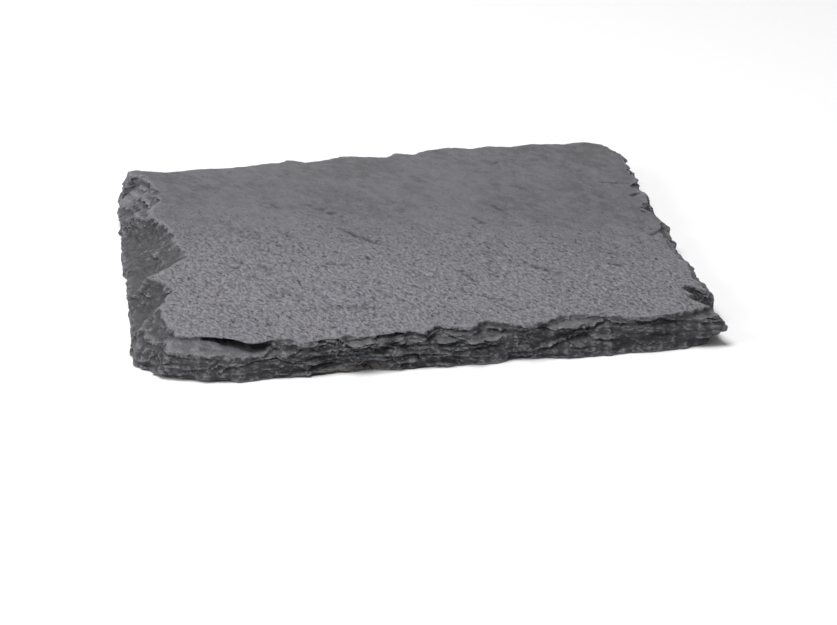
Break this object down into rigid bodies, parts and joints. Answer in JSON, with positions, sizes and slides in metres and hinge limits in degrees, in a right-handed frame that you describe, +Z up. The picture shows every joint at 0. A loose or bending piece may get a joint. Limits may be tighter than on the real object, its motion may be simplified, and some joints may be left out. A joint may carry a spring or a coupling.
{
  "type": "slate slab",
  "caption": "Square slab of dark grey riven slate with hand-chopped, layered edges, lying flat as a coaster or small serving plate.",
  "frame": {"origin": "middle of the underside, on the surface that the slab rests on", "axes": "+Z up through the thickness, -Y towards the front edge, +X towards the right edge"},
  "size_m": [0.1, 0.1, 0.0067],
  "materials": {
    "slate": "riven, matt with a faint sheen"
  },
  "bodies": {
    "root": {"slate_slab": "slate"}
  },
  "joints": []
}
